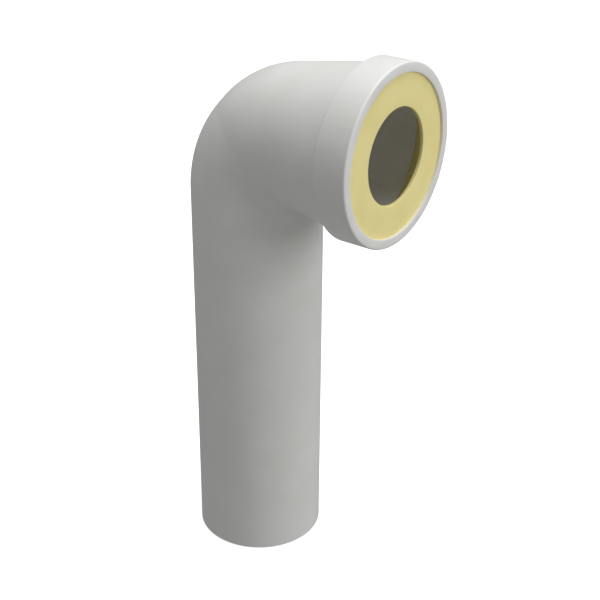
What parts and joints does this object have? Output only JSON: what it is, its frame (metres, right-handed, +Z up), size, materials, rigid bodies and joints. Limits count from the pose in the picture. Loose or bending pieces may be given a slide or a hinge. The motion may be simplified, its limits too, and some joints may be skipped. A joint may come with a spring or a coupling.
{
  "type": "long toilet pan bend",
  "caption": "Plastic right-angle bend that joins a toilet pan to a soil pipe: a long plain spigot, a flaring neck and a socket collar with a flat rubber seal.",
  "frame": {"origin": "centre of the pipe's cut end, on the pipe's axis", "axes": "+Z runs up the pipe's axis, +X points out of the socket towards the toilet pan, and +Y completes the right-handed set"},
  "size_m": [0.1904, 0.144, 0.4565],
  "materials": {
    "white_plastic": "satin",
    "seal_rubber": "matte"
  },
  "bodies": {
    "root": {"pan_bend": "white_plastic", "seal_ring": "seal_rubber"}
  },
  "joints": []
}
